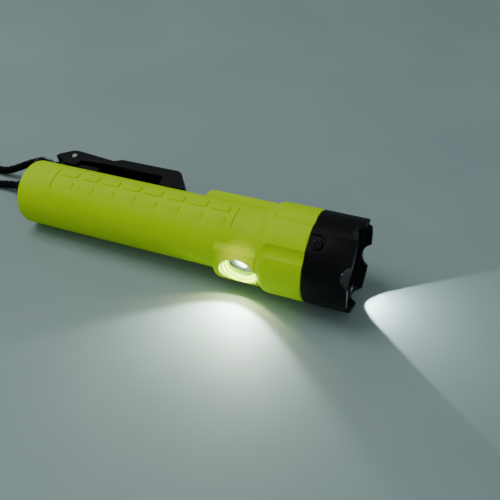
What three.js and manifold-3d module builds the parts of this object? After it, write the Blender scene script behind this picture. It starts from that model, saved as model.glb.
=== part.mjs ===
// A firefighter's dual-light hand torch: a spot light in the head and a flood light in its side,
// a sprung belt clip, a split ring and a corded wrist lanyard, lying on a flat surface.
// Millimetres, +Z up. The torch is drawn along +X with its switches towards +Z, then rolled and
// tilted so that its tail and its head rest on the surface.
import * as THREE from 'three';
import { mergeVertices } from 'three/addons/utils/BufferGeometryUtils.js';
import Module from 'manifold-3d';

const wasm = await Module();
wasm.setup();

// ---------------------------------------------------------------- driving dimensions
const GAP = 0.3; // between pieces that touch
const ROUND_STEPS = 40; // facets round the large turned pieces
const INNER_STEPS = 24; // facets round the sealed inner pieces
const SMALL_STEPS = 16; // facets round the small ones
const OVER = 2; // how far a cutter reaches past the surface it cuts

const CELL_RADIUS = 7.25; // AA cell
const CELL_LENGTH = 50.5;
const CELL_NUB = 1.2; // the raised contact, part of the cell's length
const CELL_SPACE = 0.6; // between the two rows of cells
const CARRIER_ROOM = 1.2; // from the cells to the grip tube's bore

const TUBE_WALL = 2;
const TAIL_WALL = 3;
const TAIL_ROUNDING = 2.5;
const SHOULDER_OFFSET = 21.4; // from the back of the light module to the shoulder
const SHOULDER_LENGTH = 10;
const HEAD_LENGTH = 19.5; // straight part behind the bezel
const NECK_WALL = 2;
const NECK_LENGTH = 10.5;
const SEAL_GROOVE = 1.3; // depth of the groove in the neck
const NECK_SEAL_OFFSET = 2.4; // from the head to the middle of that groove

const PAD_THICK = 2; // cushion under the battery carrier
const CARRIER_PLATE = 2;
const RAIL_HALF_WIDTH = 2; // of the two rails that join the carrier's plates
const CONTACT_SPLIT = 1.4; // half the space between the contacts of the two rows
const CONTACT_SPACE = 3.6; // room for a spring or a contact at each end of the cells
const CONTACT_SHEET = 0.6;
const CONTACT_BOARD = 0.9;
const CONTACT_WIRE = 0.4; // radius of a contact spring's wire

const BEZEL_LENGTH = 23;
const BEZEL_WALL = 2.7;
const LIP_OVERLAP = 1.1; // how far the lip covers the lens's edge
const LIP_THICK = 1.2;
const RIM_WALL = 2.5; // in front of the lip
const RIM_CHAMFER = 0.5;
const NOTCH_COUNT = 6;
const NOTCH_DEPTH = 4;
const NOTCH_RADIUS = 6.4;
const NOTCH_START = -83; // angle of the first notch from the switches, in degrees
const LOCK_ANGLE = -111; // the lock screw's angle from the switches, in degrees
const LOCK_OFFSET = 4.2; // from the bezel's rear edge to the lock screw
const LOCK_POCKET = 4.6; // radius of the pocket round its head
const LOCK_POCKET_DEPTH = 1.4;
const LOCK_HEAD = 2.8;
const LOCK_SHANK = 1.2;

const LENS_THICK = 2;
const LENS_SEAL = 1;
const LENS_RADIUS = 20.7;
const LENS_ROOM = 0.4; // from the lens's edge to the bezel's bore
const REFLECTOR_ROOM = 0.6; // from the reflector's mouth to the head's bore
const REFLECTOR_THROAT = 3.4;
const REFLECTOR_WALL = 1.1;
const HEAT_SINK_LENGTH = 8;
const LED_BOARD_THICK = 1.2;

const SWITCH_PAD_REAR = 14.6; // from the back of the light module, rearwards
const SWITCH_PAD_HALF_WIDTH = 12.4;
const SWITCH_PAD_TOP_HALF_WIDTH = 8.4;
const SWITCH_PAD_RISE = 3.6; // above the grip tube
const SWITCH_ROOF = 1.6;
const BOOT_THICK = 0.9;
const BOOT_HALF_WIDTH = 6.8;
const BUTTON_RADIUS = 5.2;
const BUTTON_RISE = 1.9; // above the pad
const BUTTON_SPACING = 17.5;
const BUTTON_TRAVEL = 0.8;
const SWITCH_BOARD_THICK = 1;

const FLOOD_OFFSET = 17; // from the back of the light module to the flood light
const FLOOD_BOSS_RISE = 3.8; // above the grip tube
const FLOOD_BOSS_HALF_WIDTH = 12;
const FLOOD_BOSS_REAR = 13.5; // behind the flood light's centre
const FLOOD_MOUTH = 10.4; // radius of the pocket where it opens
const FLOOD_STEP = 7.6; // radius where the pocket's cone ends
const FLOOD_BORE = 6.9;
const FLOOD_SILL = 0.9; // from the end of the cone to the lens
const FLOOD_LENS_DEPTH = 2.4; // below the grip tube's surface
const FLOOD_LENS_THICK = 1.8;
const FLOOD_SEAL = 0.7;
const FLOOD_CUP_DEPTH = 5.4;
const FLOOD_BOARD_THICK = 1;

const FLUTE_ANGLES = [31, 81.5, 132]; // from the switches, on both sides, in degrees
const FLUTE_RADIUS = 7.1;
const FLUTE_DEPTH = 1.2;
const FLUTE_START = 11.5; // from the shoulder's rear to the middle of a flute's round end

const GRIP_COLUMNS = 8;
const GRIP_PITCH = 13;
const GRIP_START = 24.2; // rear end of the first pad
const GRIP_PAD_LENGTH = 9.8;
const GRIP_PAD_HEIGHT = 0.5; // above the tube
const GRIP_ROWS = [ // on both sides: angle from the switches, width, height at the far edge
  { angle: 78.5, width: 4.4, farEdge: GRIP_PAD_HEIGHT },
  { angle: 105.5, width: 6, farEdge: 0.05 },
];
const GRIP_BAR_WIDTH = 0.9; // of the thin bars that close the pattern
const GRIP_BAR_SPACE = 3.2;

const CLIP_HALF_WIDTH = 9;
const CLIP_SHEET = 1.3;
const CLIP_PIN_RADIUS = 1.5;
const CLIP_PIN_X = 15.9;
const CLIP_PIN_RISE = 6; // above the tube
const CLIP_LENGTH = 86.2; // tail tip to jaw
const CLIP_TAIL_X = 4.6;
const CLIP_BASE_REAR = 8.5;
const CLIP_BASE_FRONT = 34;
const CLIP_BASE_THICK = 2.4;
const CLIP_LUG_THICK = 1.8;
const CLIP_LUG_WALL = 1;
const CLIP_SPRING_WIRE = 0.35; // radius of the wire
const CLIP_SPRING_ROOM = 0.35; // on both sides of the coil
const CLIP_SPRING_TURNS = 4;
const CLIP_SCREW_PLACES = [24.6, 30.6];
const CLIP_SCREW_SHANK = 1;
const CLIP_SCREW_HEAD = 2.1;
const CLIP_SCREW_DEPTH = 0.9; // into the tube's wall

const EYE_X = 2; // the eye that holds the split ring
const EYE_RISE = 2.9;
const EYE_RADIUS = 3.2;
const EYE_BORE = 2.2;
const EYE_HALF_THICK = 0.6;
const RING_WIRE = 0.5; // radius of the wire; the ring has two turns of it
const RING_PITCH = 1.1; // from one turn to the next
const RING_RADIUS = 10.2; // to the middle of the wire
const RING_HANG = 40; // angle on the ring at which it hangs from the eye, in degrees

const CORD_RADIUS = 2.5;
const CORD_SIDES = 8;
const SPLICE_RADIUS = 3.4;
const SPLICE_ENDS = [[-16.6, 11.6, 8.9], [-23.6, 12.3, 7.1]]; // from the tail, the floor at zero
const UPPER_STRAND = [
  [-15.5, 11.5, 9.2], [-11, 12.8, 9.6], [-7.3, 16.3, 10.5], [-6, 21, 12],
  [-7.3, 25.8, 13.5], [-11, 29.2, 14.6], [-16, 30.5, 15], [-22.5, 30, 14],
  [-30, 28.6, 11], [-41, 27.4, 5.6], [-51.5, 27.2, 2.8], [-57, 28, 2.6],
];
const LOWER_STRAND = [
  [-57, 12.5, 2.6], [-50, 13, 2.6], [-41.4, 14.1, 2.9], [-32, 14.4, 4.6],
  [-24.7, 12.5, 6.8],
];
const HANK_REAR = -157.5;
const HANK_FRONT = -57.5;
const HANK_MIDDLE = 20;
const HANK_HALF_WIDTH = 12.5;
const HANK_HEIGHT = 10;
const TIE_X = -107;
const TIE_HALF_WIDTH = 2.5;
const TIE_THICK = 1;

const ROLL = 75; // of the switches away from straight up, in degrees

// ---------------------------------------------------------------- sizes that follow
const rowSpacing = 2 * CELL_RADIUS + CELL_SPACE;
const tubeBore = rowSpacing / 2 + CELL_RADIUS + CARRIER_ROOM;
const tubeRadius = tubeBore + TUBE_WALL;
const bezelBore = LENS_RADIUS + LENS_ROOM;
const neckRadius = bezelBore - GAP;
const headBore = neckRadius - NECK_WALL;
const headRadius = bezelBore + BEZEL_WALL;
const lipBore = LENS_RADIUS - LIP_OVERLAP;
const rimBore = headRadius - RIM_WALL;
const reflectorMouth = headBore - REFLECTOR_ROOM;
const bossRadius = tubeRadius + FLOOD_BOSS_RISE;
const switchPadTop = tubeRadius + SWITCH_PAD_RISE;

// ---------------------------------------------------------------- places along the axis
const padRear = TAIL_WALL + GAP;
const carrierRear = padRear + PAD_THICK + GAP;
const cellsRear = carrierRear + CARRIER_PLATE + CONTACT_SPACE;
const cellsFront = cellsRear + 2 * CELL_LENGTH + GAP;
const carrierFront = cellsFront + CONTACT_SPACE + CARRIER_PLATE;
const moduleRear = carrierFront + CONTACT_BOARD + 2 * GAP;
const floodX = moduleRear + FLOOD_OFFSET;
const shoulderRear = moduleRear + SHOULDER_OFFSET;
const shoulderFront = shoulderRear + SHOULDER_LENGTH;
const headBoreRear = shoulderRear + 0.8 * SHOULDER_LENGTH;
const bezelRear = shoulderFront + HEAD_LENGTH;
const neckFront = bezelRear + NECK_LENGTH;
const bezelFront = bezelRear + BEZEL_LENGTH;
const notchFloor = bezelFront - NOTCH_DEPTH;
const lipRear = notchFloor - LIP_THICK;
const lensSealRear = lipRear - GAP - LENS_SEAL;
const lensRear = lensSealRear - GAP - LENS_THICK;
const reflectorFront = lensRear - GAP;
const heatSinkRear = shoulderFront + GAP;
const ledBoardRear = heatSinkRear + HEAT_SINK_LENGTH + GAP;
const ledRear = ledBoardRear + LED_BOARD_THICK + GAP;
const switchPadRear = moduleRear - SWITCH_PAD_REAR;
const switchPadFront = shoulderRear + 0.6 * SHOULDER_LENGTH;
const switchMiddle = (switchPadRear + switchPadFront) / 2;
const switchBoardTop = tubeBore + GAP + SWITCH_BOARD_THICK;
const roofUnderside = switchPadTop - SWITCH_ROOF;
const buttonPlaces = [switchMiddle - BUTTON_SPACING / 2, switchMiddle + BUTTON_SPACING / 2];
const floodLensFront = FLOOD_LENS_DEPTH - tubeRadius; // heights above the axis, so below it
const floodSealFront = floodLensFront + FLOOD_LENS_THICK + GAP;
const floodCupFront = floodSealFront + FLOOD_SEAL + GAP;
const floodCupBack = floodCupFront + FLOOD_CUP_DEPTH;
const floodBoardBack = floodCupBack + GAP + FLOOD_BOARD_THICK;
const pinHeight = tubeRadius + CLIP_PIN_RISE;
const lugRadius = CLIP_PIN_RADIUS + CLIP_LUG_WALL;
const clipSpringRadius = CLIP_PIN_RADIUS + CLIP_SPRING_ROOM + CLIP_SPRING_WIRE;
const clipTop = pinHeight + clipSpringRadius + CLIP_SPRING_WIRE + CLIP_SPRING_ROOM + CLIP_SHEET;
const baseTop = tubeRadius + CLIP_BASE_THICK;

// ---------------------------------------------------------------- finishes
const finish = (color, roughness, metalness = 0) =>
  new THREE.MeshStandardMaterial({ color, roughness, metalness });
const HI_VIS = finish(0xb9cf10, 0.5);
const BLACK_NYLON = finish(0x16191a, 0.55);
const BLACK_RUBBER = finish(0x1b1c1d, 0.8);
const GREY_PLASTIC = finish(0x4a4d50, 0.6);
const STEEL = finish(0xb9bcc0, 0.3, 1);
const BRASS = finish(0xc9a45a, 0.35, 1);
const ALUMINIUM = finish(0xc8ccd0, 0.35, 1);
const MIRROR_COAT = finish(0xe6e8ea, 0.08, 1);
const CLEAR = finish(0xdfeaf0, 0.05);
const CIRCUIT = finish(0x1f5a38, 0.6);
const LED_YELLOW = finish(0xf3dc7a, 0.4);
const CELL_WRAP = finish(0x2b3f63, 0.4);
const CORD_BLACK = finish(0x111314, 0.9);

// ---------------------------------------------------------------- solids
const radians = THREE.MathUtils.degToRad;

// A closed solid from a three.js geometry, with its faces pointing out.
function solid(geometry) {
  geometry.deleteAttribute('normal');
  geometry.deleteAttribute('uv');
  const merged = mergeVertices(geometry, 1e-4);
  const corners = merged.index.array;
  const kept = [];
  for (let i = 0; i < corners.length; i += 3) {
    const [a, b, c] = corners.slice(i, i + 3);
    if (a !== b && b !== c && c !== a) kept.push(a, b, c);
  }
  const build = (triVerts) => new wasm.Manifold(new wasm.Mesh({
    numProp: 3,
    vertProperties: new Float32Array(merged.attributes.position.array),
    triVerts: new Uint32Array(triVerts),
  }));
  const made = build(kept);
  return made.volume() > 0 ? made : build(kept.reverse());
}

// A solid's surface as a three.js geometry.
function surface(manifold) {
  const mesh = manifold.getMesh();
  const geometry = new THREE.BufferGeometry();
  geometry.setAttribute('position', new THREE.BufferAttribute(mesh.vertProperties, 3));
  geometry.setIndex(new THREE.BufferAttribute(mesh.triVerts, 1));
  geometry.computeVertexNormals();
  return geometry;
}

const unite = (first, ...rest) => rest.reduce((whole, next) => whole.add(next), first);
const cut = (body, ...cutters) => cutters.reduce((left, next) => left.subtract(next), body);

// Turned about the torch's axis; the profile is [place along X, radius] pairs.
function turned(profile, steps = ROUND_STEPS) {
  const points = profile.map(([x, r]) => new THREE.Vector2(r, x));
  return solid(new THREE.LatheGeometry(points, steps).rotateZ(-Math.PI / 2));
}

// Turned about an upright line through (x, y); the profile is [height, radius] pairs.
function upright(profile, x = 0, y = 0, steps = SMALL_STEPS) {
  const points = profile.map(([z, r]) => new THREE.Vector2(r, z));
  return solid(new THREE.LatheGeometry(points, steps).rotateX(Math.PI / 2).translate(x, y, 0));
}

// Turned about a line along Y through (x, z); the profile is [place along Y, radius] pairs.
function crosswise(profile, x, z, steps = SMALL_STEPS) {
  const points = profile.map(([y, r]) => new THREE.Vector2(r, y));
  return solid(new THREE.LatheGeometry(points, steps).translate(x, 0, z));
}

const rod = (from, to, radius) => [[from, 0], [from, radius], [to, radius], [to, 0]];
const tube = (from, to, bore, radius) =>
  [[from, bore], [from, radius], [to, radius], [to, bore], [from, bore]];

function block(x0, x1, y0, y1, z0, z1) {
  const box = new THREE.BoxGeometry(x1 - x0, y1 - y0, z1 - z0);
  return solid(box.translate((x0 + x1) / 2, (y0 + y1) / 2, (z0 + z1) / 2));
}

// A flat outline in X and Z, thick from y0 to y1.
function plate(outline, y0, y1) {
  const shape = new THREE.Shape(outline.map(([x, z]) => new THREE.Vector2(x, z)));
  const geometry = new THREE.ExtrudeGeometry(shape, { depth: y1 - y0, bevelEnabled: false });
  return solid(geometry.rotateX(Math.PI / 2).translate(0, y1, 0));
}

// A flat outline in Y and Z, long from x0 to x1.
function bar(outline, x0, x1) {
  const shape = new THREE.Shape(outline.map(([y, z]) => new THREE.Vector2(y, z)));
  const geometry = new THREE.ExtrudeGeometry(shape, { depth: x1 - x0, bevelEnabled: false });
  return solid(geometry.rotateY(Math.PI / 2).rotateX(Math.PI / 2).translate(x0, 0, 0));
}

// A slot-shaped outline lying flat, thick from z0 to z1.
function oblong(x0, x1, halfWidth, z0, z1) {
  const shape = new THREE.Shape();
  shape.moveTo(x0 + halfWidth, -halfWidth);
  shape.lineTo(x1 - halfWidth, -halfWidth);
  shape.absarc(x1 - halfWidth, 0, halfWidth, -Math.PI / 2, Math.PI / 2);
  shape.lineTo(x0 + halfWidth, halfWidth);
  shape.absarc(x0 + halfWidth, 0, halfWidth, Math.PI / 2, 1.5 * Math.PI);
  const options = { depth: z1 - z0, bevelEnabled: false, curveSegments: 5 };
  return solid(new THREE.ExtrudeGeometry(shape, options).translate(0, 0, z0));
}

// A round bar along a smooth curve.
function swept(points, radius, sides, steps, closed = false) {
  const path = new THREE.CatmullRomCurve3(points.map((p) => new THREE.Vector3(...p)), closed);
  const section = new THREE.Shape().absarc(0, 0, radius, 0, 2 * Math.PI);
  return new THREE.ExtrudeGeometry(section, { steps, extrudePath: path, curveSegments: sides / 2 });
}

// Turns a solid about the torch's axis, away from the switches.
const around = (manifold, degrees) => manifold.rotate([-degrees, 0, 0]);

const part = new THREE.Group();
const torch = new THREE.Group();
const lanyard = new THREE.Group();
part.add(torch, lanyard);

function add(name, shape, material, parent = torch) {
  const geometry = shape instanceof THREE.BufferGeometry ? shape : surface(shape);
  const mesh = new THREE.Mesh(geometry, material);
  mesh.name = name;
  parent.add(mesh);
  return mesh;
}

// ---------------------------------------------------------------- housing
function smoothStep(from, to, r0, r1, steps) {
  const points = [];
  for (let i = 1; i <= steps; i += 1) {
    const t = i / steps;
    points.push([from + t * (to - from), r0 + (r1 - r0) * (0.5 - 0.5 * Math.cos(Math.PI * t))]);
  }
  return points;
}

function housingShell() {
  const rounding = [];
  for (let i = 0; i <= 3; i += 1) {
    const a = (i / 3) * (Math.PI / 2);
    rounding.push([
      TAIL_ROUNDING * (1 - Math.sin(a)),
      tubeRadius - TAIL_ROUNDING * (1 - Math.cos(a)),
    ]);
  }
  const grooveX = bezelRear + NECK_SEAL_OFFSET;
  const grooveHalf = SEAL_GROOVE / 2 + GAP;
  const grooveRadius = neckRadius - SEAL_GROOVE;
  const outside = turned([
    [0, 0], ...rounding.reverse(),
    [shoulderRear, tubeRadius],
    ...smoothStep(shoulderRear, shoulderFront, tubeRadius, headRadius, 6),
    [bezelRear, headRadius], [bezelRear, neckRadius],
    [grooveX - grooveHalf, neckRadius], [grooveX - grooveHalf, grooveRadius],
    [grooveX + grooveHalf, grooveRadius], [grooveX + grooveHalf, neckRadius],
    [neckFront, neckRadius], [neckFront, 0],
  ]);
  return outside;
}

function housingBore() {
  return turned([
    [TAIL_WALL, 0], [TAIL_WALL, tubeBore], [headBoreRear, tubeBore],
    [headBoreRear, headBore], [neckFront + OVER, headBore], [neckFront + OVER, 0],
  ]);
}

function switchPad() {
  const low = 0.55 * tubeRadius;
  const side = 0.72 * tubeRadius;
  const section = bar([
    [-SWITCH_PAD_HALF_WIDTH, low], [SWITCH_PAD_HALF_WIDTH, low],
    [SWITCH_PAD_HALF_WIDTH, side],
    [SWITCH_PAD_TOP_HALF_WIDTH + 0.8, switchPadTop - 1.2],
    [SWITCH_PAD_TOP_HALF_WIDTH, switchPadTop],
    [-SWITCH_PAD_TOP_HALF_WIDTH, switchPadTop],
    [-SWITCH_PAD_TOP_HALF_WIDTH - 0.8, switchPadTop - 1.2],
    [-SWITCH_PAD_HALF_WIDTH, side],
  ], switchPadRear, switchPadFront);
  const slope = switchPadTop - tubeRadius;
  const length = plate([
    [switchPadRear, 0], [switchPadFront, 0], [switchPadFront, switchPadTop],
    [switchPadRear + 1.2 * slope, switchPadTop],
    [switchPadRear + 0.4 * slope, switchPadTop - 0.3 * slope],
    [switchPadRear, tubeRadius - 0.5],
  ], -SWITCH_PAD_HALF_WIDTH - OVER, SWITCH_PAD_HALF_WIDTH + OVER);
  return section.intersect(length);
}

function switchCavities() {
  const rear = switchPadRear + 4;
  const front = switchPadFront - 4;
  const recess = switchPadTop - BOOT_THICK;
  const cuts = [
    block(rear, front, -7.4, 7.4, 0.7 * tubeBore, roofUnderside),
    oblong(rear, front, BOOT_HALF_WIDTH + GAP, recess, recess + OVER),
  ];
  for (const x of buttonPlaces) {
    cuts.push(upright(rod(0.9 * tubeBore, switchPadTop + OVER, BUTTON_RADIUS + GAP), x));
  }
  return cuts;
}

function floodBoss() {
  const front = shoulderRear + 0.5 * SHOULDER_LENGTH;
  const barrel = turned(rod(floodX - FLOOD_BOSS_REAR, front, bossRadius));
  const slab = block(0, bezelFront, -FLOOD_BOSS_HALF_WIDTH, FLOOD_BOSS_HALF_WIDTH,
    -bossRadius - OVER, -0.6 * tubeRadius);
  return barrel.intersect(slab);
}

function floodPocket() {
  const mouth = -bossRadius;
  const step = floodLensFront - FLOOD_SILL;
  const slope = (FLOOD_MOUTH - FLOOD_STEP) / (step - mouth);
  return upright([
    [mouth - OVER, 0], [mouth - OVER, FLOOD_MOUTH + OVER * slope], [step, FLOOD_STEP],
    [step, FLOOD_BORE], [-0.6 * tubeBore, FLOOD_BORE], [-0.6 * tubeBore, 0],
  ], floodX, 0, 2 * SMALL_STEPS);
}

function flute(angle) {
  const start = shoulderRear + FLUTE_START;
  const end = bezelRear + OVER;
  const dome = [];
  for (let i = 0; i <= 3; i += 1) {
    const a = (i / 3) * (Math.PI / 2);
    dome.push([start - FLUTE_RADIUS * Math.cos(a), FLUTE_RADIUS * Math.sin(a)]);
  }
  const scoop = turned([...dome, [end, FLUTE_RADIUS], [end, 0]], SMALL_STEPS)
    .translate([0, 0, headRadius + FLUTE_RADIUS - FLUTE_DEPTH]);
  return around(scoop, angle);
}

function gripPads() {
  const root = tubeRadius - 0.9;
  const pads = [];
  for (const { angle, width, farEdge } of GRIP_ROWS) {
    const section = [[-width / 2, root], [width / 2, root]];
    for (const share of [1, 0.5, 0]) { // from the far edge to the near one
      const y = (share - 0.5) * width;
      const height = GRIP_PAD_HEIGHT + share * (farEdge - GRIP_PAD_HEIGHT);
      section.push([y, Math.sqrt(tubeRadius ** 2 - y ** 2) + height]);
    }
    for (let i = 0; i < GRIP_COLUMNS; i += 1) {
      const x = GRIP_START + i * GRIP_PITCH;
      const pad = around(bar(section, x, x + GRIP_PAD_LENGTH), angle);
      pads.push(pad, pad.mirror([0, 1, 0]));
    }
  }
  return pads;
}

function gripBars() {
  const first = GRIP_START - GRIP_BAR_SPACE - GRIP_BAR_WIDTH;
  const last = GRIP_START + (GRIP_COLUMNS - 1) * GRIP_PITCH + GRIP_PAD_LENGTH + GRIP_BAR_SPACE;
  const top = tubeRadius + GRIP_PAD_HEIGHT;
  const bars = [];
  for (const x of [first, last]) {
    const hoop = turned(tube(x, x + GRIP_BAR_WIDTH, tubeRadius - 0.7, top));
    const edges = [GRIP_ROWS[0].angle - 8, GRIP_ROWS[1].angle + 8];
    const wedge = bar([
      [0, 0],
      ...[edges[0], (edges[0] + edges[1]) / 2, edges[1]].map((angle) => [
        2 * top * Math.sin(radians(angle)),
        2 * top * Math.cos(radians(angle)),
      ]),
    ], x - OVER, x + GRIP_BAR_WIDTH + OVER);
    bars.push(hoop.intersect(wedge), hoop.intersect(wedge.mirror([0, 1, 0])));
  }
  return bars;
}

function clipScrewHoles() {
  const bottom = tubeRadius - CLIP_SCREW_DEPTH - GAP;
  return CLIP_SCREW_PLACES.map((x) =>
    upright(rod(bottom, tubeRadius + OVER, CLIP_SCREW_SHANK + GAP), x));
}

function housing() {
  const outside = unite(housingShell(), switchPad(), floodBoss(), ...gripPads(), ...gripBars());
  const flutes = FLUTE_ANGLES.flatMap((angle) => [flute(angle), flute(-angle)]);
  return cut(outside, housingBore(), ...switchCavities(), floodPocket(), ...flutes,
    ...clipScrewHoles());
}

// ---------------------------------------------------------------- batteries
function carrier() {
  const radius = tubeBore - GAP;
  const overlap = CARRIER_PLATE / 2;
  const x0 = carrierRear + overlap;
  const x1 = carrierFront - overlap;
  const top = radius - 0.4;
  return unite(
    turned(rod(carrierRear, carrierRear + CARRIER_PLATE, radius), INNER_STEPS),
    turned(rod(carrierFront - CARRIER_PLATE, carrierFront, radius), INNER_STEPS),
    block(x0, x1, -RAIL_HALF_WIDTH, RAIL_HALF_WIDTH, CELL_RADIUS, top),
    block(x0, x1, -RAIL_HALF_WIDTH, RAIL_HALF_WIDTH, -top, -CELL_RADIUS),
  );
}

function cell(direction) {
  const can = [
    [0, 0], [0, CELL_RADIUS - 0.8], [0.8, CELL_RADIUS],
    [CELL_LENGTH - CELL_NUB - 0.6, CELL_RADIUS], [CELL_LENGTH - CELL_NUB, CELL_RADIUS - 0.6],
    [CELL_LENGTH - CELL_NUB, 2.7], [CELL_LENGTH, 2.7], [CELL_LENGTH, 0],
  ];
  const flipped = can.map(([x, r]) => [CELL_LENGTH - x, r]).reverse();
  return turned(direction > 0 ? can : flipped, SMALL_STEPS);
}

function contactSpring(x, y, length) {
  const turns = 2.5;
  const steps = 24;
  const points = [];
  for (let i = 0; i <= steps; i += 1) {
    const t = i / steps;
    const a = 2 * Math.PI * turns * t;
    const r = 5 - 2.2 * t;
    points.push([x + length * t, y + r * Math.cos(a), r * Math.sin(a)]);
  }
  return swept(points, CONTACT_WIRE, 4, 22);
}

function buildBatteries() {
  add('tail_cushion', turned(rod(padRear, padRear + PAD_THICK, tubeBore - GAP), INNER_STEPS),
    BLACK_RUBBER);
  add('battery_carrier', carrier(), GREY_PLASTIC);
  const y = rowSpacing / 2;
  const middle = cellsRear + CELL_LENGTH + GAP;
  add('cell_1', cell(1).translate([cellsRear, y, 0]), CELL_WRAP);
  add('cell_2', cell(1).translate([middle, y, 0]), CELL_WRAP);
  add('cell_3', cell(-1).translate([cellsRear, -y, 0]), CELL_WRAP);
  add('cell_4', cell(-1).translate([middle, -y, 0]), CELL_WRAP);
  const rearSheet = carrierRear + CARRIER_PLATE + GAP;
  const frontSheet = carrierFront - CARRIER_PLATE - GAP;
  const springRoom = CONTACT_SPACE - CONTACT_SHEET - 3 * GAP - 2 * CONTACT_WIRE;
  add('rear_bridge', plate([
    [rearSheet, -4], [rearSheet + CONTACT_SHEET, -4],
    [rearSheet + CONTACT_SHEET, 4], [rearSheet, 4],
  ], CONTACT_SPLIT, y + 5), BRASS);
  add('rear_contact', plate([
    [rearSheet, -4], [rearSheet + CONTACT_SHEET, -4],
    [rearSheet + CONTACT_SHEET, 4], [rearSheet, 4],
  ], -y - 5, -CONTACT_SPLIT), BRASS);
  add('front_contact_positive', plate([
    [frontSheet - CONTACT_SHEET, -4], [frontSheet, -4],
    [frontSheet, 4], [frontSheet - CONTACT_SHEET, 4],
  ], CONTACT_SPLIT, y + 5), BRASS);
  add('front_contact_negative', plate([
    [frontSheet - CONTACT_SHEET, -4], [frontSheet, -4],
    [frontSheet, 4], [frontSheet - CONTACT_SHEET, 4],
  ], -y - 5, -CONTACT_SPLIT), BRASS);
  const wire = GAP + CONTACT_WIRE;
  add('rear_contact_spring',
    contactSpring(rearSheet + CONTACT_SHEET + wire, y, springRoom), STEEL);
  add('front_contact_spring',
    contactSpring(cellsFront + wire, -y, springRoom), STEEL);
}

// ---------------------------------------------------------------- light module and switches
function lightModule() {
  const step = headBoreRear + GAP * Math.sign(headBore - tubeBore);
  const body = turned([
    [moduleRear, 0], [moduleRear, tubeBore - GAP],
    [step, tubeBore - GAP], [step, headBore - GAP], [shoulderFront, headBore - GAP],
    [shoulderFront, 0],
  ], INNER_STEPS);
  const wireway = turned(rod(moduleRear - OVER, shoulderFront + OVER, 3.5), SMALL_STEPS);
  const cupRoom = upright(rod(-tubeBore - OVER, floodBoardBack + GAP, FLOOD_BORE), floodX);
  const wirehole = upright(rod(floodBoardBack - OVER, 0, 1), floodX + 4, 0, 12);
  return cut(body, wireway, cupRoom, wirehole);
}

function buildModule() {
  add('contact_board', turned(rod(carrierFront + GAP, carrierFront + GAP + CONTACT_BOARD,
    tubeBore - GAP), INNER_STEPS), CIRCUIT);
  add('light_module', lightModule(), GREY_PLASTIC);
}

function buildSwitches() {
  const rear = switchPadRear + 4;
  const front = switchPadFront - 4;
  const recess = switchPadTop - BOOT_THICK;
  const boardBottom = tubeBore + GAP;
  const holes = buttonPlaces.map((x) =>
    upright(rod(recess - OVER, switchPadTop + OVER, BUTTON_RADIUS + GAP), x));
  const boot = oblong(rear + GAP, front - GAP, BOOT_HALF_WIDTH, recess + GAP,
    switchPadTop + GAP);
  add('switch_boot', cut(boot, ...holes), BLACK_RUBBER);
  add('switch_board', block(rear + 1, front - 1, -6.8, 6.8, boardBottom, switchBoardTop), CIRCUIT);
  const nubTop = roofUnderside - 0.9;
  const stemBottom = nubTop + GAP + BUTTON_TRAVEL;
  const capTop = switchPadTop + BUTTON_RISE;
  for (const [i, name] of ['flood', 'spot'].entries()) {
    const x = buttonPlaces[i];
    const can = block(x - 3, x + 3, -3, 3, switchBoardTop + GAP, nubTop - 0.7);
    add(`${name}_tact_switch`, can.add(upright(rod(nubTop - 1, nubTop, 1.6), x, 0, 12)), STEEL);
    add(`${name}_button`, upright([
      [stemBottom, 0], [stemBottom, 2.4], [roofUnderside + 0.6, 2.4],
      [roofUnderside + 0.6, BUTTON_RADIUS], [capTop - 1, BUTTON_RADIUS],
      [capTop - 0.3, BUTTON_RADIUS - 0.8], [capTop, BUTTON_RADIUS - 2.6], [capTop, 0],
    ], x), BLACK_RUBBER);
  }
}

// ---------------------------------------------------------------- flood light
function buildFlood() {
  const outer = FLOOD_BORE - GAP;
  add('flood_lens', upright([
    [floodLensFront, 0], [floodLensFront + 0.15, 0.5 * outer], [floodLensFront + 0.6, outer],
    [floodLensFront + FLOOD_LENS_THICK, outer], [floodLensFront + FLOOD_LENS_THICK, 0],
  ], floodX, 0, 2 * SMALL_STEPS), CLEAR);
  add('flood_lens_seal', upright(tube(floodSealFront, floodSealFront + FLOOD_SEAL,
    outer - 1.5, outer), floodX), BLACK_RUBBER);
  add('flood_reflector', upright([
    [floodCupFront, outer - 0.8], [floodCupFront, outer], [floodCupFront + 0.8, outer],
    [floodCupFront + 1.2, outer - 0.8], [floodCupBack, outer - 2.4], [floodCupBack, 2.4],
    [floodCupFront + 0.5 * FLOOD_CUP_DEPTH, outer - 2], [floodCupFront, outer - 0.8],
  ], floodX), MIRROR_COAT);
  const ledBack = floodCupBack + GAP;
  add('flood_led', upright([
    [floodCupBack - 1.2, 0], [floodCupBack - 1, 0.9], [floodCupBack - 0.5, 1.5],
    [floodCupBack - 0.5, 1.8],
    [ledBack - GAP, 1.8], [ledBack - GAP, 0],
  ], floodX), LED_YELLOW);
  add('flood_board', upright(rod(ledBack, ledBack + FLOOD_BOARD_THICK, outer - 0.4), floodX),
    CIRCUIT);
}

// ---------------------------------------------------------------- spot light
function heatSink() {
  const front = heatSinkRear + HEAT_SINK_LENGTH;
  const groove = (x) => [[x, headBore - GAP], [x, headBore - 5], [x + 1.2, headBore - 5],
    [x + 1.2, headBore - GAP]];
  return turned([
    [heatSinkRear, 0], [heatSinkRear, headBore - GAP],
    ...groove(heatSinkRear + 1.6), ...groove(heatSinkRear + 4.4),
    [front, headBore - GAP], [front, 0],
  ], INNER_STEPS).subtract(turned(rod(heatSinkRear - OVER, front + OVER, 1.5), 12).translate([0, 0, 6]));
}

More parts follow.
